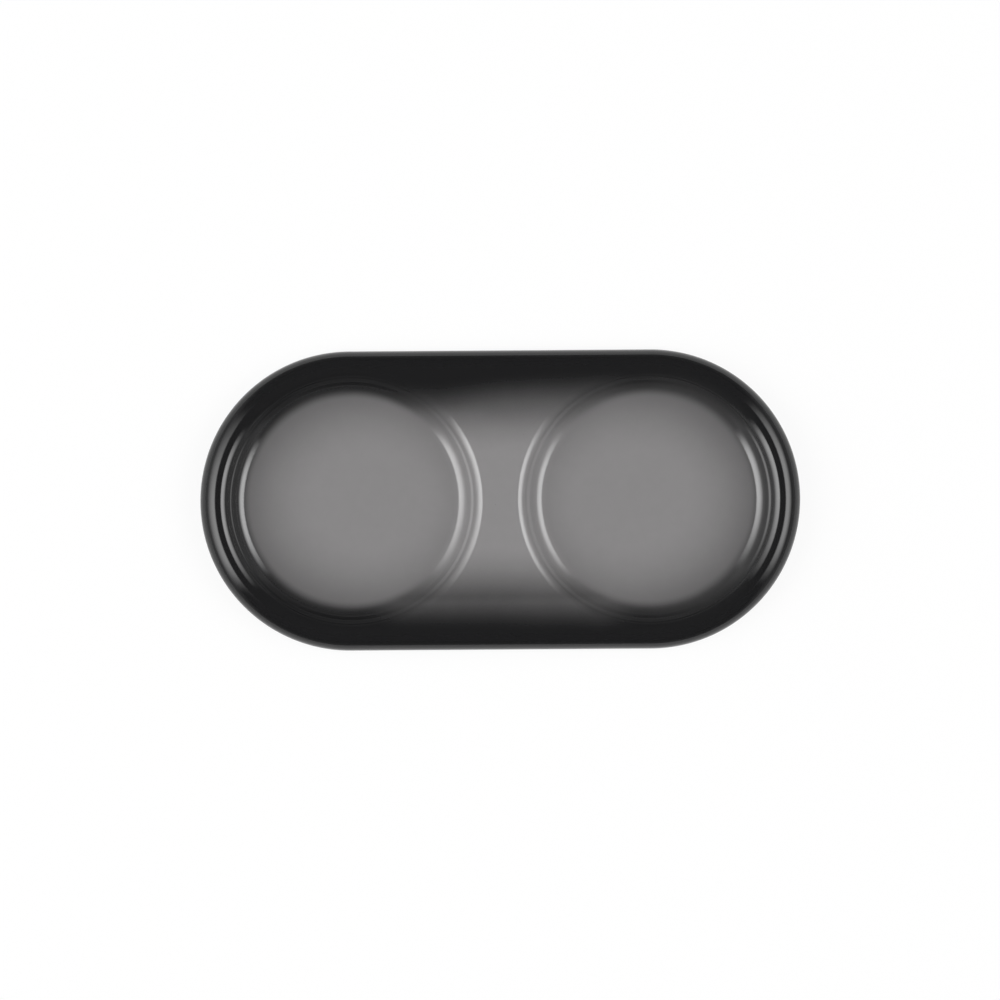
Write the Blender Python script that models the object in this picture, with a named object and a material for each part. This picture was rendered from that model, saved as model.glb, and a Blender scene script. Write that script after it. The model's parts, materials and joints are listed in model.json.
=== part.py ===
"""Oblong stoneware tray with two round wells for a pair of mills.

Metres, +Z up. The origin lies under the middle of the tray, on the surface that it stands on. X runs along the
tray and Y across it. The tray is the same in all four quarters, so each piece is drawn for the quarter where X and
Y are positive and then mirrored. The clay body and its glaze coats follow the same outlines, each set in by its
own depth below the finished surface.
"""

from math import acos, asin, atan2, cos, pi, radians, sin

import bmesh
import bpy
from mathutils import Vector

# Wells
MILL_BASE = 0.0630
MILL_CLEARANCE = 0.00045
WELL_DEPTH = 0.0045
WELL_FILLET = 0.0042
WELL_SHOULDER = 0.00335
WELL_WALL_SLOPE = radians(43.5)
WEB_WIDTH = 0.0101

# Rim and outside wall
RIM_LAND = 0.00069
END_LAND = 0.00117
RIM_REACH = 0.00465
RIM_RISE = 0.0052
WALL_TUCK = 0.0032

# Floor and foot ring
FLOOR_THICKNESS = 0.0065
FOOT_RECESS = 0.0020
FOOT_STEP = 0.0005
FOOT_WIDTH = 0.0035
FOOT_EDGE = 0.0005
RECESS_FILLET = 0.0012

# Glaze coats
GLAZE_THICKNESS = 0.0005
GLAZE_GAP = 0.0003
GLAZE_LINE = 0.0016
UNDERSIDE_STOP = radians(20)

# Facets
WELL_STEPS = 24
END_STEPS = 12
FILLET_STEPS = 5
SHOULDER_STEPS = 4
RIM_STEPS = 5
WALL_STEPS = 4
RECESS_STEPS = 3
SMOOTH_UNDER = radians(35)
MERGE_DISTANCE = 0.00001

# Well outline: a fillet and a shoulder joined by a wall, which eases where the depth is too small for its slope
WELL_FLOOR = MILL_BASE / 2 + MILL_CLEARANCE
WELL_BEND = WELL_FILLET + WELL_SHOULDER
WELL_SLOPE = min(WELL_WALL_SLOPE, acos(max(0, 1 - WELL_DEPTH / WELL_BEND)))
WELL_STRAIGHT = (WELL_DEPTH - WELL_BEND * (1 - cos(WELL_SLOPE))) / sin(WELL_SLOPE)
WELL_MOUTH = WELL_FLOOR + WELL_BEND * sin(WELL_SLOPE) + WELL_STRAIGHT * cos(WELL_SLOPE)
WELL_CENTRE = WELL_MOUTH + WEB_WIDTH / 2

# Tray outline: two half circles of END_RADIUS round END_CENTRE and its mirror image, joined by straight sides
LAND_EDGE = WELL_MOUTH + RIM_LAND
END_RADIUS = LAND_EDGE + RIM_REACH
END_CENTRE = WELL_CENTRE + END_LAND - RIM_LAND
TRAY_HEIGHT = FOOT_RECESS + FLOOR_THICKNESS + WELL_DEPTH

# Outside wall: an arc that leaves the rim upright and tucks in down to the glaze line
WALL_TOP = TRAY_HEIGHT - RIM_RISE
WALL_DROP = WALL_TOP - GLAZE_LINE
WALL_RADIUS = (WALL_DROP**2 + WALL_TUCK**2) / (2 * WALL_TUCK)
WALL_TURN = atan2(WALL_DROP, WALL_RADIUS - WALL_TUCK)

# Clay surface and foot ring, measured outwards from the tray's long axis
CLAY_INSET = GLAZE_THICKNESS + GLAZE_GAP
FOOT_OUTSIDE = END_RADIUS - WALL_TUCK - CLAY_INSET * cos(WALL_TURN) - FOOT_STEP
FOOT_INSIDE = FOOT_OUTSIDE - FOOT_WIDTH - 2 * FOOT_EDGE
RECESS_BEND = min(RECESS_FILLET, FOOT_RECESS - FOOT_EDGE)
RECESS_EDGE = FOOT_INSIDE - CLAY_INSET - RECESS_BEND


def well_profile(inset):
    """Distance from a well's axis and height, from its mouth down to the edge of its floor."""
    shoulder = Vector((WELL_MOUTH, TRAY_HEIGHT - WELL_SHOULDER))
    fillet = Vector((WELL_FLOOR, TRAY_HEIGHT - WELL_DEPTH + WELL_FILLET))
    points = []
    for step in range(SHOULDER_STEPS + 1):
        tilt = WELL_SLOPE * step / SHOULDER_STEPS
        points.append(shoulder + (WELL_SHOULDER - inset) * Vector((-sin(tilt), cos(tilt))))
    for step in range(FILLET_STEPS + 1):
        tilt = WELL_SLOPE * (1 - step / FILLET_STEPS)
        points.append(fillet + (WELL_FILLET + inset) * Vector((sin(tilt), -cos(tilt))))
    return points


def rim_profile(inset, start):
    """Distance from the tray's long axis and height, from the angle start over the rim to the glaze line."""
    points = []
    for step in range(RIM_STEPS + 1):
        turn = start + (pi / 2 - start) * step / RIM_STEPS
        crown = Vector((LAND_EDGE + RIM_REACH * sin(turn), WALL_TOP + RIM_RISE * cos(turn)))
        outward = Vector((RIM_RISE * sin(turn), RIM_REACH * cos(turn))).normalized()
        points.append(crown - inset * outward)
    for step in range(1, WALL_STEPS + 1):
        turn = WALL_TURN * step / WALL_STEPS
        outward = Vector((cos(turn), -sin(turn)))
        points.append(Vector((END_RADIUS - WALL_RADIUS, WALL_TOP)) + (WALL_RADIUS - inset) * outward)
    return points


def foot_profile():
    """Distance from the tray's long axis and height round the bare foot ring, from outside to inside."""
    flat_outside = FOOT_OUTSIDE - FOOT_EDGE
    flat_inside = flat_outside - FOOT_WIDTH
    return [(FOOT_OUTSIDE, FOOT_EDGE), (flat_outside, 0), (flat_inside, 0), (FOOT_INSIDE, FOOT_EDGE)]


def recess_profile(inset, stop):
    """Distance from the tray's long axis and height, from the angle stop up the recess's fillet to its flat."""
    points = []
    for step in range(RECESS_STEPS + 1):
        turn = stop + (pi / 2 - stop) * step / RECESS_STEPS
        reach = RECESS_EDGE + (RECESS_BEND + inset) * cos(turn)
        points.append((reach, FOOT_RECESS - RECESS_BEND + (RECESS_BEND + inset) * sin(turn)))
    return points


def well_ring(mesh, reach, height):
    """Half a circle round the well's axis, from the tray's end towards the web."""
    turns = [pi * step / WELL_STEPS for step in range(WELL_STEPS + 1)]
    return [mesh.verts.new((WELL_CENTRE + reach * cos(turn), reach * sin(turn), height)) for turn in turns]


def outline_ring(mesh, reach, height):
    """A quarter of the tray's outline at this distance from its long axis, from the middle to the end."""
    ring = [mesh.verts.new((0, reach, height))]
    for step in range(END_STEPS + 1):
        turn = pi / 2 * (1 - step / END_STEPS)
        ring.append(mesh.verts.new((END_CENTRE + reach * cos(turn), reach * sin(turn), height)))
    return ring


def skin(mesh, rings):
    """Four-sided faces between neighbouring rings."""
    faces = []
    for first, second in zip(rings, rings[1:]):
        for i in range(len(first) - 1):
            faces.append(mesh.faces.new((first[i], first[i + 1], second[i + 1], second[i])))
    return faces


def top_surface(mesh, inset, border):
    """The well, land and web out to the border ring, facing up."""
    rings = [well_ring(mesh, reach, height) for reach, height in well_profile(inset)]
    middle = mesh.verts.new((0, 0, TRAY_HEIGHT - inset))
    faces = skin(mesh, rings)
    faces.append(mesh.faces.new(rings[-1]))
    faces.append(mesh.faces.new([middle, *reversed(rings[0]), *reversed(border)]))
    return faces


def underside(mesh, rings):
    """The skin of these rings and the flat inside the last one, facing down."""
    height = rings[-1][0].co.z
    faces = skin(mesh, rings)
    faces.append(mesh.faces.new([*rings[-1], mesh.verts.new((0, 0, height))]))
    return faces


def draw_body(mesh):
    """The clay: wells and web, rim, outside wall, foot ring and recess."""
    profile = [*rim_profile(CLAY_INSET, 0), *foot_profile(), *recess_profile(CLAY_INSET, 0)]
    rings = [outline_ring(mesh, reach, height) for reach, height in profile]
    top_surface(mesh, CLAY_INSET, rings[0])
    underside(mesh, rings)


def draw_inner_glaze(mesh):
    """A coat over the wells, the web and the land."""
    outer = outline_ring(mesh, LAND_EDGE, TRAY_HEIGHT)
    inner = outline_ring(mesh, LAND_EDGE, TRAY_HEIGHT - GLAZE_THICKNESS)
    top_surface(mesh, 0, outer)
    bmesh.ops.reverse_faces(mesh, faces=top_surface(mesh, GLAZE_THICKNESS, inner))
    skin(mesh, [outer, inner])


def draw_rim_glaze(mesh):
    """A coat over the rim and the outside wall, a gap away from the coat on the land."""
    start = asin(GLAZE_GAP / RIM_REACH)
    outer = rim_profile(0, start)
    inner = rim_profile(GLAZE_THICKNESS, start)
    rings = [outline_ring(mesh, *point) for point in [*outer, *reversed(inner)]]
    skin(mesh, [*rings, rings[0]])


def draw_underside_glaze(mesh):
    """A coat over the recess's flat and most of its fillet."""
    outer = [outline_ring(mesh, *point) for point in recess_profile(0, UNDERSIDE_STOP)]
    inner = [outline_ring(mesh, *point) for point in recess_profile(GLAZE_THICKNESS, UNDERSIDE_STOP)]
    underside(mesh, outer)
    bmesh.ops.reverse_faces(mesh, faces=underside(mesh, inner))
    skin(mesh, [inner[0], outer[0]])


def material(name, colour, roughness):
    """A plain finish of one colour."""
    finish = bpy.data.materials.new(name)
    finish.use_nodes = True
    shader = finish.node_tree.nodes["Principled BSDF"]
    shader.inputs["Base Color"].default_value = (*colour, 1)
    shader.inputs["Roughness"].default_value = roughness
    shader.inputs["Metallic"].default_value = 0
    return finish


def add_piece(name, draw, finish, parent):
    """One object: its quarter drawn, mirrored along and across the tray and shaded smooth."""
    drawing = bmesh.new()
    draw(drawing)
    bmesh.ops.remove_doubles(drawing, verts=drawing.verts, dist=MERGE_DISTANCE)
    mesh = bpy.data.meshes.new(name)
    drawing.to_mesh(mesh)
    drawing.free()
    mesh.shade_smooth()
    mesh.set_sharp_from_angle(angle=SMOOTH_UNDER)
    mesh.materials.append(finish)
    piece = bpy.data.objects.new(name, mesh)
    piece.parent = parent
    bpy.context.scene.collection.objects.link(piece)
    mirror = piece.modifiers.new("quarters", "MIRROR")
    mirror.use_axis = (True, True, False)
    mirror.use_mirror_merge = True
    mirror.merge_threshold = MERGE_DISTANCE


def main():
    for leftover in list(bpy.data.objects):
        bpy.data.objects.remove(leftover)
    tray = bpy.data.objects.new("tray", None)
    bpy.context.scene.collection.objects.link(tray)
    clay = material("bare_stoneware", (0.60, 0.55, 0.47), 0.85)
    grey = material("light_grey_glaze", (0.25, 0.245, 0.243), 0.1)
    dark = material("dark_grey_glaze", (0.013, 0.013, 0.0135), 0.1)
    add_piece("stoneware_body", draw_body, clay, tray)
    add_piece("inner_glaze", draw_inner_glaze, grey, tray)
    add_piece("rim_glaze", draw_rim_glaze, dark, tray)
    add_piece("underside_glaze", draw_underside_glaze, dark, tray)


main()
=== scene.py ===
"""Looks of the two-well mill tray: glazed surfaces, bare clay and a plain studio.

Metres, +Z up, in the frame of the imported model. Every surface is a profile carried along a path. A profile
is an array of points, each with its reach out from the path, its height and its run. The run is above 0 where
glaze has pooled or bare clay is rubbed, and below 0 where glaze has run thin.
"""

import json
from math import acos, atan2, cos, pi, radians, sin
from types import SimpleNamespace

import bpy
import numpy as np
from bpy.props import FloatProperty, FloatVectorProperty, PointerProperty
from bpy.types import NodeSocket, Operator, Panel, PropertyGroup
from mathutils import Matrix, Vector


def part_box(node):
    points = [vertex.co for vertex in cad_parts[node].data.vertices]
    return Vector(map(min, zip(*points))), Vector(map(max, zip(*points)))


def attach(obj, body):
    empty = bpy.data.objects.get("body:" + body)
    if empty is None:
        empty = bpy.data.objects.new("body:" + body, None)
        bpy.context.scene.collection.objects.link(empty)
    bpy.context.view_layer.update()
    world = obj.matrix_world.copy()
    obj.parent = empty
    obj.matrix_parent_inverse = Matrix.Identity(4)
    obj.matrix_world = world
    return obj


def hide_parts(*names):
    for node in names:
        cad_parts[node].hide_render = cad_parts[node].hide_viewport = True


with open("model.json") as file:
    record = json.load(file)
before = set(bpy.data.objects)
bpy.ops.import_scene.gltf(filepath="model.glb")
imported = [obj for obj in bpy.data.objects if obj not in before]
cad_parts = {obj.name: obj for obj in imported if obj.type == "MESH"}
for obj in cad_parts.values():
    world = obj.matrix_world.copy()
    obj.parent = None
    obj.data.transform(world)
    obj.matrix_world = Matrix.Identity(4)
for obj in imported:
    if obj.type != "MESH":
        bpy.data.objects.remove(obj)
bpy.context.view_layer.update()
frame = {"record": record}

bl_info = {
    "name": "Mill Tray Finish",
    "version": (1, 0, 0),
    "blender": (4, 5, 0),
    "location": "View3D > Sidebar > Mill Tray",
    "description": "Glazed and bare stoneware surfaces for a two-well mill tray, with a plain studio",
    "category": "Object",
}

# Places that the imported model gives
RIM_LOW, RIM_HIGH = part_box("rim_glaze")
WELLS_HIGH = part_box("inner_glaze")[1]
MOUNT_PLACES = {mount["name"]: mount["pos_m"] for mount in frame["record"]["mounts"]}
WELL_X, _, WELL_Z = MOUNT_PLACES["right_well_floor"]

# Facets
END_STEPS = 96
WEB_STEPS = 32
LAND_STEPS = 4
FLOOR_STEPS = 10
SHOULDER_STEPS = 24
FILLET_STEPS = 28
RIM_STEPS = 36
WALL_STEPS = 28
BEAD_STEPS = 10
FOOT_STEPS = 8
HIDDEN_STEPS = 6
SHARP_ANGLE = radians(35)
WELD_DISTANCE = 1e-7

# From the start of the rim's rounding in to the seam between the coats of glaze, on level land
BORDER_INSET = 0.0002

# From a coat of glaze to the clay, so that their faces don't coincide
CLAY_GAP = 0.00002

# Angle above level at which the underside's glaze stops on the recess's fillet
UNDERSIDE_STOP = radians(20)

# Waves of the glaze line: how many go round the tray, the height of each and the angle that it starts at
LINE_WAVES = ((7, 1.0, 0.4), (17, 0.5, 1.9), (41, 0.3, 4.0))

# Sprayed fade: lumps of spray to a metre, and how far they carry the glaze
DRIFT_SCALE = 70.0
SPRAY_SCALE = 2600.0
SPRAY_STRAY = 0.0012

# Sprayed fade: where its lead by the web sets in and is full, from the ends, at the front and at the back
WEB_ZONE = (0.043, 0.028)
FRONT_ZONE = (-0.0283, -0.0315)
BACK_ZONE = (0.0250, 0.0300)

# Sprayed fade: where its lead behind the web goes over from the left's to the right's
BACK_CHANGE = (-0.020, 0.004)

# Sprayed fade: where it goes over from a wall's to a floor's, outwards from the edge of the floor. On a floor
# it is partly the fade and partly painted shade near the walls
FLOOR_EDGE_ZONE = (0.0017, -0.0016)

# Floor's darkening, partly the sprayed fade and partly painted shade near the walls: how much narrower it is
# across the tray than along it
FLOOR_FADE_AND_SHADE_SQUEEZE = 1.156

# Glaze
FADING_IOR = 1.55
DARK_IOR = 1.45
POOL_COAT = 0.4
RUN_TONE = -0.05
BASE_TONE = 0.97
MOTTLE_TONE = 0.06
MOTTLE_SCALE = 300.0
RIPPLE_HEIGHT = 0.00003
GLAZE_SPECKS = {"Scale": 700.0, "Radius": 0.12, "Share": 0.01}
GLAZE_SPECK_STRENGTH = 0.25
GLAZE_HAZE = {"Least": 0.03, "Most": 0.06}

# Clay
CLAY_PALE = 1.12
CLAY_DEEP = 0.82
CLAY_CLOUD_SCALE = 160.0
CLAY_GRAIN_SCALE = 1800.0
CLAY_GRAIN_HEIGHT = 0.00008
CLAY_GRAIN_STRENGTH = 0.8
CLAY_SPECKS = {"Scale": 900.0, "Radius": 0.25, "Share": 0.07}
CLAY_SPECK_STRENGTH = 0.75
CLAY_RUB_STRENGTH = 0.5
CLAY_HAZE = {"Scale": 500.0, "Least": 0.72, "Most": 0.92}

# Values of soft noise between which a cloudy patch sets in and is full
CLOUD_ZONE = (0.3, 0.7)

# Camera: places in metres, lens and sensor in millimetres
CAMERA_HEIGHT = 5.0
CAMERA_SHIFT = -0.00008
CAMERA_LENS = 598.0
CAMERA_SENSOR = 36.0
CAMERA_ROLL = radians(0.4)

# Studio floor, and how white it shows to the camera and in reflections
STUDIO_FLOOR_REACH = 6.0
STUDIO_FLOOR_DROP = 0.00002
STUDIO_FLOOR_STEPS = 8
WHITE_SHOWN = 0.9
WHITE_MIRRORED = 0.3

# Studio walls: strengths of light, and the parts of a direction between which they change
LOW_GLOW = 0.30
OVERHEAD_GLOW = 0.04
OVERHEAD_ZONE = (0.0, 0.4)
SIDE_GLOW = 0.36
SIDE_ZONE = (0.58, 0.80)
LEFT_GLOW = 0.22
LEFT_ZONE = (-0.85, -0.98)

# Softboxes: level of light, distance, angle above the table and turn from the tray's long axis
SOFTBOX_LEVEL = 6.05
SOFTBOX_AWAY = 3.0
SOFTBOX_RISE = radians(50)
SOFTBOX_BEARING = radians(3)

# A softbox's own lengths are shares of its distance. The places where its light sets in and is full are
# shares of that distance at its top and foot, and of its half width at its back and front
SOFTBOX_WIDTH = 2.2
SOFTBOX_HEIGHT = 1.6
SOFTBOX_TAPER = 0.5
LEFT_SOFTBOX = {"side": -1, "top": (0.725, 0.445), "foot": (-0.727, 0.280),
                "back": (2.05, -0.1), "front": (-1.54, -0.66)}
RIGHT_SOFTBOX = {"side": 1, "top": (0.700, 0.420), "foot": (-0.420, 0.167),
                 "back": (1.80, 0.26), "front": (-1.74, -0.48)}


def length(name, description, default):
    """A size in metres that a user may change."""
    return FloatProperty(name=name, description=description, default=default, unit="LENGTH", precision=5)


def colour(name, description, default):
    """A linear colour that a user may change."""
    return FloatVectorProperty(name=name, description=description, default=default, subtype="COLOR",
                               min=0, max=1)


def fraction(name, description, default):
    """A share from none to all that a user may change."""
    return FloatProperty(name=name, description=description, default=default, subtype="FACTOR", min=0, max=1,
                         precision=3)


class TraySizes(PropertyGroup):
    """Sizes of the finished surfaces."""

    outline_radius: length("Outline radius", "Radius of the tray's round ends", RIM_HIGH.y)
    end_centre: length("End centre", "From the middle of the tray to the centre of an end",
                       RIM_HIGH.x - RIM_HIGH.y)
    height: length("Height", "From the table to the top of the rim", WELLS_HIGH.z)
    well_centre: length("Well centre", "From the middle of the tray to a well's axis", WELL_X)
    well_depth: length("Well depth", "From the rim down to a well's floor", WELLS_HIGH.z - WELL_Z)
    floor_radius: length("Floor radius", "Radius of a well's flat floor", 0.03195)
    well_fillet: length("Well fillet", "Radius between a well's floor and its wall", 0.0042)
    well_shoulder: length("Well shoulder", "Radius between a well's wall and the land", 0.00335)
    wall_slope: FloatProperty(name="Wall slope", description="Steepest tilt of a well's wall",
                              default=radians(43.5), subtype="ANGLE")
    ledge_radius: length("Ledge radius", "From a well's axis to the ledge on its wall", 0.03638)
    ledge_width: length("Ledge width", "Width of that ledge in plan", 0.00105)
    ledge_swell: length("Ledge swell", "How far the wall swells below that ledge at the ends", 0.0004)
    ledge_ease: fraction("Ledge ease", "How much fainter the ledge is at the back and front", 0.75)
    ledge_web_ease: fraction("Ledge web ease", "How much fainter the ledge is beside the web", 0.2)
    rim_reach: length("Rim reach", "Width of the rim's rounding", RIM_HIGH.y - WELLS_HIGH.y)
    rim_rise: length("Rim rise", "Height of the rim's rounding", 0.0052)
    wall_tuck: length("Wall tuck", "How far the outside wall draws in down to the glaze line", 0.0032)
    glaze_line: length("Glaze line", "Height at which the outside glaze ends", RIM_LOW.z)
    glaze_thickness: length("Glaze thickness", "Thickness of a coat of glaze", 0.00078)
    glaze_roll: length("Glaze roll", "How far the glaze swells above its line", 0.00012)
    glaze_waver: length("Glaze waver", "How far the glaze line strays up and down", 0.00011)
    foot_width: length("Foot width", "Width of the foot ring", 0.0045)
    foot_step: length("Foot step", "How far the foot ring stands in from the clay wall", 0.0005)
    foot_round: length("Foot rounding", "Radius of the foot ring's edges", 0.0006)
    recess_depth: length("Recess depth", "From the table up to the glazed underside", 0.0020)
    recess_fillet: length("Recess fillet", "Radius round the edge of the underside", 0.0012)


class TrayFinish(PropertyGroup):
    """Colours of the tray and the studio, and how the dark glaze fades into the grey one. Painted shade is
    mixed into the floors' darkening towards their walls.
    """

    dark_glaze: colour("Dark glaze", "Glaze on the rim and the outside", (0.0114, 0.0114, 0.0119))
    grey_glaze: colour("Grey glaze", "Glaze in the middle of the wells and on the web",
                       (0.2375, 0.2320, 0.2335))
    glaze_speck: colour("Glaze speck", "Specks in the glaze", (0.02, 0.017, 0.014))
    clay: colour("Clay", "Bare stoneware of the foot ring", (0.60, 0.55, 0.47))
    clay_speck: colour("Clay speck", "Iron specks in the clay", (0.10, 0.065, 0.04))
    clay_rub: colour("Clay rub", "Rubbed edges of the foot ring", (0.30, 0.28, 0.26))
    floor: colour("Floor", "Studio floor", (0.88, 0.88, 0.88))
    fade_start: length("Fade start", "Distance inside the outline where the grey sets in", 0.0080)
    fade_end: length("Fade end", "Distance inside the outline where the grey is full", 0.0320)
    # Each floor's darkening towards its walls: partly the glaze's fade and partly painted shade
    floor_fade_start: length("Floor fade start", "Distance from a floor's middle where it starts to darken",
                             0.0153)
    floor_fade_end: length("Floor fade end", "Distance from that middle where it would be dark", 0.0598)
    floor_fade_lead: length("Floor fade lead", "How far that middle lies from the well's axis to the web",
                            0.0051)
    floor_fade_most: fraction("Floor fade most", "How far a floor fades to grey in its middle", 0.96)
    front_lead: length("Front lead", "How much further out the grey reaches at the front of the web", 0.0023)
    back_lead: length("Back lead", "How much further out it reaches behind the web, on the right", 0.0007)
    back_lag: length("Back lag", "How much less far out it reaches behind the web, on the left", 0.0017)
    fade_shift: length("Fade shift", "How far the sprayed fade sits towards the back", 0.0002)
    fade_lean: fraction("Fade lean", "How far out the grey moves for each step to the right", 0.036)


def shared_lengths(sizes):
    """The sizes with the lengths that follow from them, as part of one outline."""
    tray = SimpleNamespace(**{name: getattr(sizes, name) for name in TraySizes.__annotations__})
    bend = tray.well_fillet + tray.well_shoulder
    tray.slope = min(tray.wall_slope, acos(max(0, 1 - tray.well_depth / bend)))
    straight = (tray.well_depth - bend * (1 - cos(tray.slope))) / sin(tray.slope)
    tray.mouth = tray.floor_radius + bend * sin(tray.slope) + straight * cos(tray.slope)
    tray.land_edge = tray.outline_radius - tray.rim_reach
    tray.border = tray.land_edge - BORDER_INSET
    tray.wall_top = tray.height - tray.rim_rise
    drop = tray.wall_top - tray.glaze_line
    tray.wall_radius = (drop**2 + tray.wall_tuck**2) / (2 * tray.wall_tuck)
    tray.wall_turn = atan2(drop, tray.wall_radius - tray.wall_tuck)
    tray.clay_inset = tray.glaze_thickness + CLAY_GAP
    clay_foot = tray.outline_radius - tray.wall_tuck - tray.clay_inset * cos(tray.wall_turn)
    tray.foot_outside = clay_foot - tray.foot_step
    tray.foot_inside = tray.foot_outside - tray.foot_width
    tray.recess_edge = tray.foot_inside - tray.clay_inset - tray.recess_fillet
    return tray


# Profiles: arrays of steps by columns by reach, height and run


def profile(reach, height, run):
    """Reach, height and run put together, each spread to the same steps and columns."""
    return np.stack(np.broadcast_arrays(reach, height, run), axis=-1)


def arc(centre, radius, start, stop, steps, run=0.0):
    """Points at even angles on a circle. Angle 0 points out, a quarter turn up. Run is full half way."""
    share = np.linspace(0, 1, steps + 1)[:, None]
    turn = start + (stop - start) * share
    reach = centre[0] + radius * np.cos(turn)
    height = centre[1] + radius * np.sin(turn)
    return profile(reach, height, run * np.sin(pi * share))


def level(start, stop, height, steps):
    """Points at even spaces across a level face."""
    share = np.linspace(0, 1, steps + 1)[:, None]
    return profile(start + (stop - start) * share, height, 0.0)


def join(*profiles):
    """Profiles put end to end, each spread to the same columns."""
    columns = max(part.shape[1] for part in profiles)
    return np.concatenate([np.broadcast_to(part, (part.shape[0], columns, 3)) for part in profiles])


def rim_profile(tray, inset, steps):
    """A quarter ellipse from the top of the outside wall up to the land, set in along its normal."""
    turn = np.linspace(pi / 2, 0, steps + 1)[:, None]
    normal = np.stack([tray.rim_rise * np.sin(turn), tray.rim_reach * np.cos(turn)])
    normal /= np.linalg.norm(normal, axis=0)
    reach = tray.land_edge + tray.rim_reach * np.sin(turn) - inset * normal[0]
    height = tray.wall_top + tray.rim_rise * np.cos(turn) - inset * normal[1]
    return profile(reach, height, -np.sin(2 * turn))


def wall_profile(tray, inset, turn, steps):
    """The outside wall's arc from this angle below level up to the rim's rounding."""
    centre = (tray.outline_radius - tray.wall_radius, tray.wall_top)
    return arc(centre, tray.wall_radius - inset, -turn, 0, steps)


def slope_profile(tray, turn, top, foot, steps):
    """A well's wall between its arcs, swelling below a ledge: an eased step less an even fall to the foot.

    The swell is fainter by a share of the sine squared of the angle round the well, and on the web's side
    also by a share of the cosine squared.
    """
    share = np.linspace(0, 1, steps + 1)[1:-1, None]
    reach = top[..., 0] + (foot[..., 0] - top[..., 0]) * share
    height = top[..., 1] + (foot[..., 1] - top[..., 1]) * share
    past_ledge = np.clip((tray.ledge_radius - reach) / tray.ledge_width + 0.5, 0, 1)
    towards_web = np.maximum(-np.cos(turn), 0)
    fainter = tray.ledge_ease * np.sin(turn) ** 2 + tray.ledge_web_ease * towards_web**2
    most = tray.ledge_swell * (1 - fainter)
    swell = most * (past_ledge**2 * (3 - 2 * past_ledge) - share)
    return profile(reach - swell * sin(tray.slope), height + swell * cos(tray.slope), 0.0)


def bowl_profile(tray, turn, inset, shoulder_steps, fillet_steps):
    """A well from mouth to axis: a shoulder arc, a wall with a ledge, a fillet arc and a level floor."""
    floor = tray.height - tray.well_depth
    shoulder = (tray.mouth, tray.height - tray.well_shoulder)
    fillet = (tray.floor_radius, floor + tray.well_fillet)
    upper = arc(shoulder, tray.well_shoulder - inset, pi / 2, pi / 2 + tray.slope, shoulder_steps, -1)
    lower = arc(fillet, tray.well_fillet + inset, tray.slope - pi / 2, -pi / 2, fillet_steps, 1)
    wall = slope_profile(tray, turn, upper[-1], lower[0], fillet_steps)
    return join(upper, wall, lower, level(tray.floor_radius, 0, floor - inset, FLOOR_STEPS))


# Paths: feet that the reach is measured from, and the directions that it is measured in


def well_turns(tray):
    """Angles right round a well, from the web to the web. One falls on each corner between web and rim."""
    corner = atan2(tray.border, -tray.well_centre)
    to_corner = np.linspace(0, corner, END_STEPS + 1)
    to_web = np.linspace(corner, pi, WEB_STEPS + 1)
    half = np.concatenate([to_corner, to_web[1:]])
    return np.concatenate([-half[:0:-1], half])


def well_path(tray, turn):
    """A circle round the right well's axis."""
    outward = np.stack([np.cos(turn), np.sin(turn)], axis=-1)
    return np.array([tray.well_centre, 0]), outward


def border_reach(tray, turn):
    """From the right well's axis to the border: on the round end, a straight side or the middle plane."""
    shift = tray.end_centre - tray.well_centre
    round_end = shift * np.cos(turn) + np.sqrt(tray.border**2 - (shift * np.sin(turn)) ** 2)
    with np.errstate(divide="ignore"):
        side = tray.border / np.abs(np.sin(turn))
        middle = tray.well_centre / np.maximum(-np.cos(turn), 0)
    past_end = round_end * np.cos(turn) >= shift
    return np.where(past_end, round_end, np.minimum(side, middle))


def outline_path(tray):
    """Right round the tray, in step with the angles round its wells: one half, then the same turned round."""
    turn = well_turns(tray)[WEB_STEPS:-WEB_STEPS]
    centre, outward = well_path(tray, turn)
    right = centre + border_reach(tray, turn)[:, None] * outward
    ring = np.concatenate([right, -right[1:]])
    along = np.clip(ring[:, 0], -tray.end_centre, tray.end_centre)
    feet = np.stack([along, np.zeros(len(ring))], axis=-1)
    return feet, (ring - feet) / tray.border


def sweep(outline, path):
    """A grid of x, y, z and run: foot plus reach times direction in plan, with a point's height and run."""
    feet, outward = path
    plan = feet + outline[..., :1] * outward
    return np.concatenate([plan, np.broadcast_to(outline[..., 1:], plan.shape)], axis=-1)


def top_grids(tray, inset, shoulder_steps, fillet_steps):
    """Land, web and wells in two like halves, facing up. The land is ruled from border to well's mouth."""
    turn = well_turns(tray)
    land = level(border_reach(tray, turn), tray.mouth, tray.height - inset, LAND_STEPS)
    bowl = bowl_profile(tray, turn, inset, shoulder_steps, fillet_steps)
    right = sweep(join(land, bowl), well_path(tray, turn))
    return [right, right * (-1, -1, 1, 1)]


def waver(tray, columns):
    """How far the glaze line strays at each place round the tray: a sum of waves that close on themselves."""
    turn = np.linspace(0, 1, columns) * 2 * pi
    waves = sum(height * np.sin(count * turn + start) for count, height, start in LINE_WAVES)
    return tray.glaze_waver * waves


def bead(centre, radius, turn, thickness):
    """The rounded end of a coat that follows an arc: half a circle across its thickness, past angle turn."""
    middle = radius + thickness / 2
    end = (centre[0] + middle * np.cos(turn), centre[1] + middle * np.sin(turn))
    return arc(end, thickness / 2, turn - pi, turn, BEAD_STEPS, 1)


# Pieces


def inner_glaze_grids(tray):
    """The coat over wells, web and land: a seen skin, a hidden skin and the edge between them."""
    seen = top_grids(tray, 0, SHOULDER_STEPS, FILLET_STEPS)
    hidden = top_grids(tray, tray.glaze_thickness, HIDDEN_STEPS, HIDDEN_STEPS)
    edge = profile(tray.border, np.array([[tray.height - tray.glaze_thickness], [tray.height]]), 0.0)
    return [*seen, *(grid[::-1] for grid in hidden), sweep(edge, outline_path(tray))]


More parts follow.
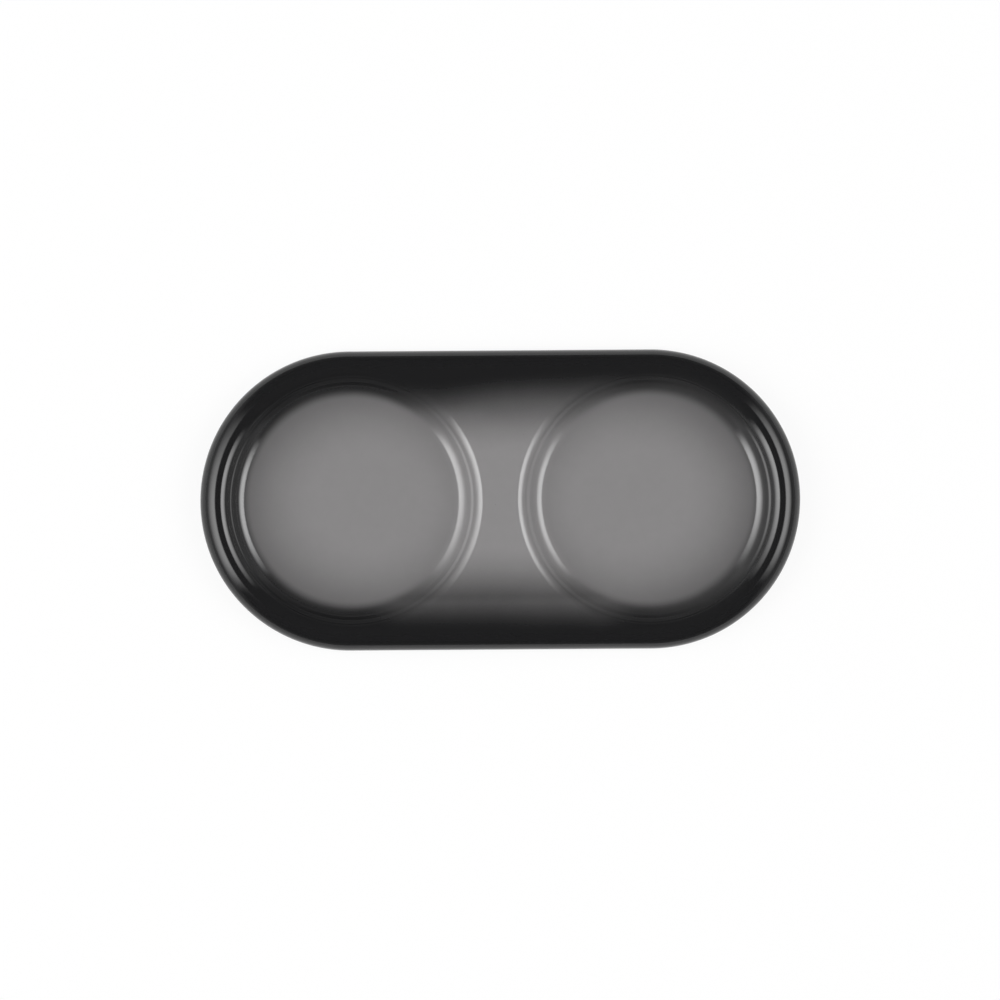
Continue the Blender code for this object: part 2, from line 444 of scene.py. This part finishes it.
def rim_glaze_grids(tray):
    """The coat over rim and outside wall: one closed outline, with a roll and a bead at the glaze line."""
    path = outline_path(tray)
    turn = tray.wall_turn + waver(tray, len(path[0])) / tray.wall_radius
    thickness = tray.glaze_thickness
    centre = (tray.outline_radius - tray.wall_radius, tray.wall_top)
    roll = tray.glaze_roll * np.sin(np.linspace(0, pi, WALL_STEPS + 1)[:, None]) ** 2
    outline = join(
        wall_profile(tray, -roll, turn, WALL_STEPS),
        rim_profile(tray, 0, RIM_STEPS),
        level(tray.land_edge, tray.border, tray.height, 1),
        level(tray.border, tray.land_edge, tray.height - thickness, 1),
        rim_profile(tray, thickness, HIDDEN_STEPS)[::-1],
        wall_profile(tray, thickness, turn, HIDDEN_STEPS)[::-1],
        bead(centre, tray.wall_radius - thickness, -turn, thickness),
    )
    return [sweep(outline, path)]


def underside_glaze_grids(tray):
    """The coat over the recess: a seen skin facing down, a bead up the fillet and a hidden skin."""
    path = outline_path(tray)
    bend = tray.recess_fillet
    centre = (tray.recess_edge, tray.recess_depth - bend)
    stop = UNDERSIDE_STOP + waver(tray, len(path[0])) / bend
    outline = join(
        level(0, tray.recess_edge, tray.recess_depth, FLOOR_STEPS),
        arc(centre, bend, pi / 2, stop, FILLET_STEPS, 1),
        bead(centre, bend, stop, tray.glaze_thickness),
        arc(centre, bend + tray.glaze_thickness, stop, pi / 2, HIDDEN_STEPS),
        level(tray.recess_edge, 0, tray.recess_depth + tray.glaze_thickness, HIDDEN_STEPS),
    )
    return [sweep(outline, path)]


def clay_grids(tray):
    """The clay: recess, foot ring with rounded edges, outside wall, rim and the wells under their glaze."""
    inset = tray.clay_inset
    edge = tray.foot_round
    recess = (tray.recess_edge, tray.recess_depth - tray.recess_fillet)
    outline = join(
        level(0, tray.recess_edge, tray.recess_depth + inset, FLOOR_STEPS),
        arc(recess, tray.recess_fillet + inset, pi / 2, 0, FOOT_STEPS),
        arc((tray.foot_inside + edge, edge), edge, pi, 3 * pi / 2, FOOT_STEPS, 1),
        level(tray.foot_inside + edge, tray.foot_outside - edge, 0, FOOT_STEPS),
        arc((tray.foot_outside - edge, edge), edge, -pi / 2, 0, FOOT_STEPS, 1),
        wall_profile(tray, inset, tray.wall_turn, HIDDEN_STEPS),
        rim_profile(tray, inset, HIDDEN_STEPS),
        level(tray.land_edge, tray.border, tray.height - inset, 1),
    )
    return [sweep(outline, outline_path(tray)), *top_grids(tray, inset, HIDDEN_STEPS, HIDDEN_STEPS)]


def mesh_of(name, grids):
    """A mesh with a face in each cell of the grids. Points that coincide become one, which closes it."""
    points = np.concatenate([grid.reshape(-1, 4) for grid in grids])
    cells = []
    start = 0
    for grid in grids:
        index = start + np.arange(grid.shape[0] * grid.shape[1]).reshape(grid.shape[:2])
        corners = [index[:-1, :-1], index[:-1, 1:], index[1:, 1:], index[1:, :-1]]
        cells.append(np.stack(corners, axis=-1).reshape(-1, 4))
        start += index.size
    places = np.round(points[:, :3] / WELD_DISTANCE).astype(np.int64)
    _, first, welded = np.unique(places, axis=0, return_index=True, return_inverse=True)
    cells = welded.reshape(-1)[np.concatenate(cells)]
    kept = cells != np.roll(cells, 1, axis=1)
    whole = kept.sum(axis=1) > 2
    cells, kept = cells[whole], kept[whole]
    corners = cells[kept]
    starts = np.cumsum(kept.sum(axis=1)) - kept.sum(axis=1)
    mesh = bpy.data.meshes.new(name)
    mesh.vertices.add(len(first))
    mesh.vertices.foreach_set("co", points[first, :3].astype(np.float32).ravel())
    mesh.loops.add(len(corners))
    mesh.loops.foreach_set("vertex_index", corners.astype(np.int32))
    mesh.polygons.add(len(starts))
    mesh.polygons.foreach_set("loop_start", starts.astype(np.int32))
    mesh.update(calc_edges=True)
    run = mesh.attributes.new("run", "FLOAT", "POINT")
    run.data.foreach_set("value", points[first, 3].astype(np.float32))
    mesh.shade_smooth()
    mesh.set_sharp_from_angle(angle=SHARP_ANGLE)
    return mesh


def add_piece(context, name, grids, finish, node):
    """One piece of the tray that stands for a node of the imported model."""
    mesh = mesh_of(name, grids)
    mesh.materials.append(finish)
    piece = bpy.data.objects.new(name, mesh)
    context.scene.collection.objects.link(piece)
    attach(piece, "root")
    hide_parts(node)


# Node helpers


def place(tree, kind, inputs=None, **settings):
    """A node with these settings. Its inputs are numbers, colours or other nodes' outputs."""
    node = tree.nodes.new(kind)
    for name, value in settings.items():
        setattr(node, name, value)
    for name, value in (inputs or {}).items():
        if isinstance(value, NodeSocket):
            tree.links.new(value, node.inputs[name])
        else:
            node.inputs[name].default_value = value
    return node


def maths(tree, operation, first, second=0.0):
    """The result of one sum."""
    return place(tree, "ShaderNodeMath", {0: first, 1: second}, operation=operation).outputs[0]


def eased(tree, value, start, stop, low=0.0, high=1.0):
    """A smooth step from low to high as the value goes from start to stop."""
    inputs = {0: value, 1: start, 2: stop, 3: low, 4: high}
    return place(tree, "ShaderNodeMapRange", inputs, interpolation_type="SMOOTHSTEP").outputs[0]


def noise(tree, position, scale, detail=2.0):
    """Soft noise round a half, with this many lumps to a metre."""
    inputs = {"Vector": position, "Scale": scale, "Detail": detail}
    return place(tree, "ShaderNodeTexNoise", inputs).outputs[0]


def blend(tree, share, first, second, kind="MIX"):
    """Two colours mixed by a share."""
    inputs = {0: share, 6: first, 7: second}
    return place(tree, "ShaderNodeMix", inputs, data_type="RGBA", blend_type=kind).outputs[2]


def distance(tree, along, across):
    """The length of a step in plan."""
    step = place(tree, "ShaderNodeCombineXYZ", {0: along, 1: across}).outputs[0]
    return place(tree, "ShaderNodeVectorMath", {0: step}, operation="LENGTH").outputs["Value"]


def new_group(name, inputs, outputs):
    """An empty node group with these named sockets, its inputs' node and its outputs' node."""
    tree = bpy.data.node_groups.new(name, "ShaderNodeTree")
    for label, (kind, value) in inputs.items():
        socket = tree.interface.new_socket(label, in_out="INPUT", socket_type=kind)
        if value is not None:
            socket.default_value = value
    for label in outputs:
        tree.interface.new_socket(label, in_out="OUTPUT", socket_type="NodeSocketFloat")
    return tree, tree.nodes.new("NodeGroupInput").outputs, tree.nodes.new("NodeGroupOutput").inputs


def use_group(tree, name, make, **inputs):
    """The outputs of a shared effect with its own values. The first material to need it makes its group."""
    group = bpy.data.node_groups.get(name) or make(name)
    return place(tree, "ShaderNodeGroup", inputs, node_tree=group).outputs


# Effects that materials share

POSITION = ("NodeSocketVector", None)


def number(value):
    """A group's number input and its default."""
    return ("NodeSocketFloat", value)


def make_ripple(name):
    """Gentle waves that a glaze keeps from its melting, with a finer orange peel on top."""
    inputs = {"Position": POSITION, "Wave Scale": number(90.0), "Peel Scale": number(900.0),
              "Peel Share": number(0.1)}
    tree, given, result = new_group(name, inputs, ["Height"])
    wave = noise(tree, given["Position"], given["Wave Scale"], detail=1.0)
    peel = noise(tree, given["Position"], given["Peel Scale"])
    height = maths(tree, "ADD", wave, maths(tree, "MULTIPLY", peel, given["Peel Share"]))
    tree.links.new(height, result["Height"])
    return tree


def make_specks(name):
    """Round specks, soft from half their radius outwards, in a share of the cells of a Voronoi pattern."""
    inputs = {"Position": POSITION, "Scale": number(400.0), "Radius": number(0.2), "Share": number(0.1)}
    tree, given, result = new_group(name, inputs, ["Mask"])
    cells = place(tree, "ShaderNodeTexVoronoi", {"Vector": given["Position"], "Scale": given["Scale"]})
    half_radius = maths(tree, "MULTIPLY", given["Radius"], 0.5)
    dot = eased(tree, cells.outputs["Distance"], given["Radius"], half_radius)
    draw = place(tree, "ShaderNodeSeparateColor", {0: cells.outputs["Color"]}).outputs[0]
    picked = maths(tree, "LESS_THAN", draw, given["Share"])
    tree.links.new(maths(tree, "MULTIPLY", dot, picked), result["Mask"])
    return tree


def make_haze(name):
    """Cloudy patches where a surface is a little less glossy."""
    inputs = {"Position": POSITION, "Scale": number(120.0), "Least": number(0.05), "Most": number(0.1)}
    tree, given, result = new_group(name, inputs, ["Roughness"])
    cloud = noise(tree, given["Position"], given["Scale"], detail=5.0)
    roughness = eased(tree, cloud, *CLOUD_ZONE, given["Least"], given["Most"])
    tree.links.new(roughness, result["Roughness"])
    return tree


# Materials


def new_material(name):
    """A material with its node tree, its shader and the position on the piece."""
    finish = bpy.data.materials.new(name)
    finish.use_nodes = True
    tree = finish.node_tree
    position = tree.nodes.new("ShaderNodeTexCoord").outputs["Object"]
    return finish, tree, tree.nodes["Principled BSDF"], position


def add_specks(tree, position, hue, strength, speck, pattern):
    """A colour with specks of another one scattered over it."""
    specks = use_group(tree, "specks", make_specks, Position=position, **pattern)
    return blend(tree, maths(tree, "MULTIPLY", specks["Mask"], strength), hue, (*speck, 1))


def add_haze(tree, shader, position, pattern):
    """Gloss that varies in cloudy patches."""
    haze = use_group(tree, "haze", make_haze, Position=position, **pattern)
    tree.links.new(haze["Roughness"], shader.inputs["Roughness"])


def add_bump(tree, shader, height, depth, strength=1.0):
    """Fine relief of this depth."""
    bump = place(tree, "ShaderNodeBump", {"Strength": strength, "Distance": depth, "Height": height})
    tree.links.new(bump.outputs["Normal"], shader.inputs["Normal"])


def spray_stray(tree, position):
    """How far the spray strays either way: broad drift and fine droplets, each as noise round a half."""
    drift = maths(tree, "MULTIPLY", noise(tree, position, DRIFT_SCALE), SPRAY_STRAY)
    spray = maths(tree, "MULTIPLY", noise(tree, position, SPRAY_SCALE), SPRAY_STRAY)
    return maths(tree, "SUBTRACT", maths(tree, "ADD", drift, spray), SPRAY_STRAY)


def spray_lead(tree, axes, along, look):
    """How much further out the grey reaches: evenly more to the right, and by eased steps beside the web.

    In front of the web it reaches further out. Behind the web it reaches less far on the left and further on
    the right.
    """
    lean = maths(tree, "MULTIPLY", maths(tree, "MAXIMUM", axes["X"], 0.0), look.fade_lean)
    in_front = eased(tree, axes["Y"], *FRONT_ZONE, 0.0, look.front_lead)
    change = eased(tree, axes["X"], *BACK_CHANGE, -look.back_lag, look.back_lead)
    behind = maths(tree, "MULTIPLY", eased(tree, axes["Y"], *BACK_ZONE), change)
    near_web = eased(tree, along, *WEB_ZONE)
    by_web = maths(tree, "MULTIPLY", near_web, maths(tree, "ADD", in_front, behind))
    return maths(tree, "ADD", lean, by_web)


def fade_share_with_floor_shade(tree, position, tray, look):
    """How far the dark glaze has gone over to grey, with the spray's stray.

    Off the floors it is an eased step of the distance in from the outline plus the spray's lead. On a floor
    it is an eased step of the distance from a middle that lies nearer the web, squeezed across the tray. That
    floor's darkening towards its walls is partly the glaze's fade and partly painted shade.
    """
    axes = place(tree, "ShaderNodeSeparateXYZ", {0: position}).outputs
    along = maths(tree, "ABSOLUTE", axes["X"])
    across = maths(tree, "SUBTRACT", axes["Y"], look.fade_shift)
    stray = spray_stray(tree, position)

    past_end = maths(tree, "MAXIMUM", maths(tree, "SUBTRACT", along, tray.end_centre), 0.0)
    inside = maths(tree, "SUBTRACT", tray.outline_radius, distance(tree, past_end, across))
    led = maths(tree, "ADD", inside, spray_lead(tree, axes, along, look))
    off_floor = eased(tree, maths(tree, "ADD", led, stray), look.fade_start, look.fade_end)

    # On a floor: darker away from a middle nearer the web, partly the glaze's fade and partly painted shade
    from_middle = maths(tree, "SUBTRACT", along, tray.well_centre - look.floor_fade_lead)
    squeezed = maths(tree, "MULTIPLY", across, FLOOR_FADE_AND_SHADE_SQUEEZE)
    spread = maths(tree, "SUBTRACT", distance(tree, from_middle, squeezed), stray)
    floor_fade_with_shade = eased(tree, spread, look.floor_fade_end, look.floor_fade_start, 0.0, look.floor_fade_most)

    from_well = distance(tree, maths(tree, "SUBTRACT", along, tray.well_centre), across)
    past_edge = maths(tree, "SUBTRACT", from_well, tray.floor_radius)
    floor_mask = eased(tree, past_edge, *FLOOR_EDGE_ZONE)
    return place(tree, "ShaderNodeMix", {0: floor_mask, 2: off_floor, 3: floor_fade_with_shade}).outputs[0]


def glaze_material(name, tray, look, fades):
    """Glossy glaze, dark or fading to grey: lighter where it has run thin and darker where it has pooled.

    The fading glaze's colour also holds painted shade where the floors darken towards their walls. Where the
    fading glaze has pooled and is still dark, a clear coat makes it glassier.
    """
    finish, tree, shader, position = new_material(name)
    run = place(tree, "ShaderNodeAttribute", attribute_name="run").outputs["Fac"]
    hue = (*look.dark_glaze, 1)
    if fades:
        # The share of grey, which on the floors also holds painted shade near their walls
        grey_share_with_floor_shade = fade_share_with_floor_shade(tree, position, tray, look)
        hue = blend(tree, grey_share_with_floor_shade, hue, (*look.grey_glaze, 1))
        still_dark = maths(tree, "SUBTRACT", 1.0, grey_share_with_floor_shade)
        pooled = maths(tree, "MULTIPLY", maths(tree, "MAXIMUM", run, 0.0), still_dark)
        tree.links.new(maths(tree, "MULTIPLY", pooled, POOL_COAT), shader.inputs["Coat Weight"])
    run_tone = maths(tree, "MULTIPLY", run, RUN_TONE)
    mottle = maths(tree, "MULTIPLY", noise(tree, position, MOTTLE_SCALE, detail=4.0), MOTTLE_TONE)
    tone = maths(tree, "ADD", maths(tree, "ADD", run_tone, mottle), BASE_TONE)
    shade = place(tree, "ShaderNodeCombineColor", {0: tone, 1: tone, 2: tone}).outputs[0]
    hue = blend(tree, 1.0, hue, shade, "MULTIPLY")
    hue = add_specks(tree, position, hue, GLAZE_SPECK_STRENGTH, look.glaze_speck, GLAZE_SPECKS)
    tree.links.new(hue, shader.inputs["Base Color"])
    add_haze(tree, shader, position, GLAZE_HAZE)
    ripple = use_group(tree, "ripple", make_ripple, Position=position)
    add_bump(tree, shader, ripple["Height"], RIPPLE_HEIGHT)
    shader.inputs["IOR"].default_value = FADING_IOR if fades else DARK_IOR
    return finish


def clay_material(look):
    """Matt fired clay: sandy grain, iron specks and a grey rub on the foot ring's edges."""
    finish, tree, shader, position = new_material("bare_stoneware")
    grain = noise(tree, position, CLAY_GRAIN_SCALE, detail=4.0)
    cloud = noise(tree, position, CLAY_CLOUD_SCALE, detail=3.0)
    pale = tuple(min(1.0, part * CLAY_PALE) for part in look.clay)
    deep = tuple(part * CLAY_DEEP for part in look.clay)
    hue = blend(tree, eased(tree, cloud, *CLOUD_ZONE), (*deep, 1), (*pale, 1))
    hue = add_specks(tree, position, hue, CLAY_SPECK_STRENGTH, look.clay_speck, CLAY_SPECKS)
    run = place(tree, "ShaderNodeAttribute", attribute_name="run").outputs["Fac"]
    rub = maths(tree, "MULTIPLY", run, maths(tree, "MULTIPLY", cloud, CLAY_RUB_STRENGTH))
    hue = blend(tree, rub, hue, (*look.clay_rub, 1))
    tree.links.new(hue, shader.inputs["Base Color"])
    add_haze(tree, shader, position, CLAY_HAZE)
    add_bump(tree, shader, grain, CLAY_GRAIN_HEIGHT, CLAY_GRAIN_STRENGTH)
    return finish


def floor_material(look):
    """White floor: lit as it is, but shown near white to the camera and part white in reflections."""
    finish = bpy.data.materials.new("studio_floor")
    finish.use_nodes = True
    tree = finish.node_tree
    tree.nodes.clear()
    lit = place(tree, "ShaderNodeBsdfDiffuse", {"Color": (*look.floor, 1)}).outputs[0]
    white = place(tree, "ShaderNodeEmission", {"Color": (1, 1, 1, 1), "Strength": 1.0}).outputs[0]
    ray = tree.nodes.new("ShaderNodeLightPath").outputs
    mirrored = maths(tree, "MAXIMUM", ray["Is Glossy Ray"], ray["Is Transmission Ray"])
    shown = maths(tree, "MULTIPLY", ray["Is Camera Ray"], WHITE_SHOWN)
    seen = maths(tree, "MAXIMUM", shown, maths(tree, "MULTIPLY", mirrored, WHITE_MIRRORED))
    mixed = place(tree, "ShaderNodeMixShader", {0: seen, 1: lit, 2: white}).outputs[0]
    place(tree, "ShaderNodeOutputMaterial", {"Surface": mixed})
    return finish


def add_floor(context, look):
    """A level sheet far wider than the tray, just under its foot."""
    edge = np.linspace(-STUDIO_FLOOR_REACH, STUDIO_FLOOR_REACH, STUDIO_FLOOR_STEPS + 1)
    x, y = np.meshgrid(edge, edge)
    sheet = np.stack([x, y, np.full_like(x, -STUDIO_FLOOR_DROP), np.zeros_like(x)], axis=-1)
    mesh = mesh_of("studio_floor", [sheet[::-1]])
    mesh.materials.append(floor_material(look))
    floor = bpy.data.objects.new("studio_floor", mesh)
    context.scene.collection.objects.link(floor)


def add_softbox(context, name, side, top, foot, back, front):
    """A tall softbox beside the tray that fans out from top to foot and dims towards all four edges.

    Its light is a product of eased steps: two of the place up the box, and two of the place towards its back,
    as a share of the half width there.
    """
    lamp = bpy.data.lights.new(name, "AREA")
    lamp.shape = "RECTANGLE"
    lamp.size = SOFTBOX_AWAY * SOFTBOX_WIDTH
    lamp.size_y = SOFTBOX_AWAY * SOFTBOX_HEIGHT
    lamp.energy = SOFTBOX_LEVEL * pi * lamp.size * lamp.size_y
    lamp.use_nodes = True
    tree = lamp.node_tree
    tree.nodes.clear()
    on_lamp = tree.nodes.new("ShaderNodeNewGeometry").outputs["Parametric"]
    share = place(tree, "ShaderNodeSeparateXYZ", {0: on_lamp}).outputs
    up = maths(tree, "MULTIPLY", maths(tree, "SUBTRACT", share["Y"], 0.5), SOFTBOX_HEIGHT)
    behind = maths(tree, "MULTIPLY", maths(tree, "SUBTRACT", share["X"], 0.5), side * SOFTBOX_WIDTH)
    nearer = maths(tree, "MULTIPLY", up, sin(SOFTBOX_RISE))
    from_tray = maths(tree, "SUBTRACT", cos(SOFTBOX_RISE), nearer)
    half_width = maths(tree, "MULTIPLY", from_tray, SOFTBOX_TAPER)
    across = maths(tree, "DIVIDE", behind, half_width)
    sides = maths(tree, "MULTIPLY", eased(tree, across, *back), eased(tree, across, *front))
    ends = maths(tree, "MULTIPLY", eased(tree, up, *top), eased(tree, up, *foot))
    strength = maths(tree, "MULTIPLY", sides, ends)
    glow = place(tree, "ShaderNodeEmission", {"Strength": strength}).outputs[0]
    place(tree, "ShaderNodeOutputLight", {"Surface": glow})
    box = bpy.data.objects.new(name, lamp)
    reach = side * cos(SOFTBOX_RISE)
    towards = Vector((reach * cos(SOFTBOX_BEARING), reach * sin(SOFTBOX_BEARING), sin(SOFTBOX_RISE)))
    box.location = SOFTBOX_AWAY * towards
    box.rotation_mode = "QUATERNION"
    box.rotation_quaternion = (-towards).to_track_quat("-Z", "Y")
    box.visible_camera = False
    context.scene.collection.objects.link(box)


def add_world(context):
    """A studio pale near the floor and at the sides, most of all low on the left, and dark overhead."""
    world = bpy.data.worlds.new("studio")
    world.use_nodes = True
    tree = world.node_tree
    tree.nodes.clear()
    direction = tree.nodes.new("ShaderNodeTexCoord").outputs["Generated"]
    axes = place(tree, "ShaderNodeSeparateXYZ", {0: direction}).outputs
    low = eased(tree, axes["Z"], *OVERHEAD_ZONE, LOW_GLOW, OVERHEAD_GLOW)
    sides = eased(tree, maths(tree, "ABSOLUTE", axes["X"]), *SIDE_ZONE, 0.0, SIDE_GLOW)
    left = eased(tree, axes["X"], *LEFT_ZONE, 0.0, LEFT_GLOW)
    glow = maths(tree, "ADD", maths(tree, "ADD", low, sides), left)
    walls = place(tree, "ShaderNodeBackground", {"Strength": glow}).outputs[0]
    place(tree, "ShaderNodeOutputWorld", {"Surface": walls})
    context.scene.world = world


def add_camera(context, tray):
    """Straight above the middle of the tray, with a slight roll."""
    view = bpy.data.cameras.new("camera")
    view.lens = CAMERA_LENS
    view.sensor_width = CAMERA_SENSOR
    camera = bpy.data.objects.new("camera", view)
    camera.location = (CAMERA_SHIFT, 0, tray.wall_top + CAMERA_HEIGHT)
    camera.rotation_euler = (0, 0, -CAMERA_ROLL)
    context.scene.collection.objects.link(camera)
    context.scene.camera = camera


# Operators


def tray_and_look(context):
    """The tray's lengths and its finish, as the scene holds them."""
    return shared_lengths(context.scene.tray_sizes), context.scene.tray_finish


class MILLTRAY_OT_clay_body(Operator):
    """Make the clay body, bare on its foot ring"""

    bl_idname = "mill_tray.clay_body"
    bl_label = "Clay Body"
    bl_options = {"REGISTER", "UNDO"}

    def execute(self, context):
        tray, look = tray_and_look(context)
        finish = clay_material(look)
        add_piece(context, "clay_body", clay_grids(tray), finish, "stoneware_body")
        return {"FINISHED"}


class MILLTRAY_OT_well_glaze(Operator):
    """Make the fading coat over the wells, the web and the land"""

    bl_idname = "mill_tray.well_glaze"
    bl_label = "Well and Web Glaze"
    bl_options = {"REGISTER", "UNDO"}

    def execute(self, context):
        tray, look = tray_and_look(context)
        finish = glaze_material("fading_glaze", tray, look, fades=True)
        grids = inner_glaze_grids(tray)
        add_piece(context, "well_glaze_coat", grids, finish, "inner_glaze")
        return {"FINISHED"}


class MILLTRAY_OT_dark_glaze(Operator):
    """Make the dark coats over the rim and outside wall and over the underside"""

    bl_idname = "mill_tray.dark_glaze"
    bl_label = "Rim and Underside Glaze"
    bl_options = {"REGISTER", "UNDO"}

    def execute(self, context):
        tray, look = tray_and_look(context)
        finish = glaze_material("dark_glaze", tray, look, fades=False)
        rim = rim_glaze_grids(tray)
        underside = underside_glaze_grids(tray)
        add_piece(context, "rim_glaze_coat", rim, finish, "rim_glaze")
        add_piece(context, "underside_glaze_coat", underside, finish, "underside_glaze")
        return {"FINISHED"}


class MILLTRAY_OT_stage(Operator):
    """Set up the floor, the softboxes, the studio and the camera"""

    bl_idname = "mill_tray.stage"
    bl_label = "Studio Stage"
    bl_options = {"REGISTER", "UNDO"}

    def execute(self, context):
        tray, look = tray_and_look(context)
        context.scene.view_settings.view_transform = "Standard"
        add_floor(context, look)
        add_softbox(context, "left_softbox", **LEFT_SOFTBOX)
        add_softbox(context, "right_softbox", **RIGHT_SOFTBOX)
        add_world(context)
        add_camera(context, tray)
        return {"FINISHED"}


PIECE_OPERATORS = (MILLTRAY_OT_clay_body, MILLTRAY_OT_well_glaze, MILLTRAY_OT_dark_glaze, MILLTRAY_OT_stage)


class MILLTRAY_PT_finish(Panel):
    """The tray's sizes, finish and operators"""

    bl_label = "Mill Tray"
    bl_space_type = "VIEW_3D"
    bl_region_type = "UI"
    bl_category = "Mill Tray"

    def draw(self, context):
        for maker in PIECE_OPERATORS:
            self.layout.operator(maker.bl_idname)
        for group in (context.scene.tray_sizes, context.scene.tray_finish):
            box = self.layout.box()
            for name in type(group).__annotations__:
                box.prop(group, name)


CLASSES = (TraySizes, TrayFinish, *PIECE_OPERATORS, MILLTRAY_PT_finish)


def register():
    for kind in CLASSES:
        bpy.utils.register_class(kind)
    bpy.types.Scene.tray_sizes = PointerProperty(type=TraySizes)
    bpy.types.Scene.tray_finish = PointerProperty(type=TrayFinish)


def unregister():
    del bpy.types.Scene.tray_finish
    del bpy.types.Scene.tray_sizes
    for kind in reversed(CLASSES):
        bpy.utils.unregister_class(kind)


def main():
    register()
    bpy.ops.mill_tray.clay_body()
    bpy.ops.mill_tray.well_glaze()
    bpy.ops.mill_tray.dark_glaze()
    bpy.ops.mill_tray.stage()


if __name__ == "__main__":
    main()
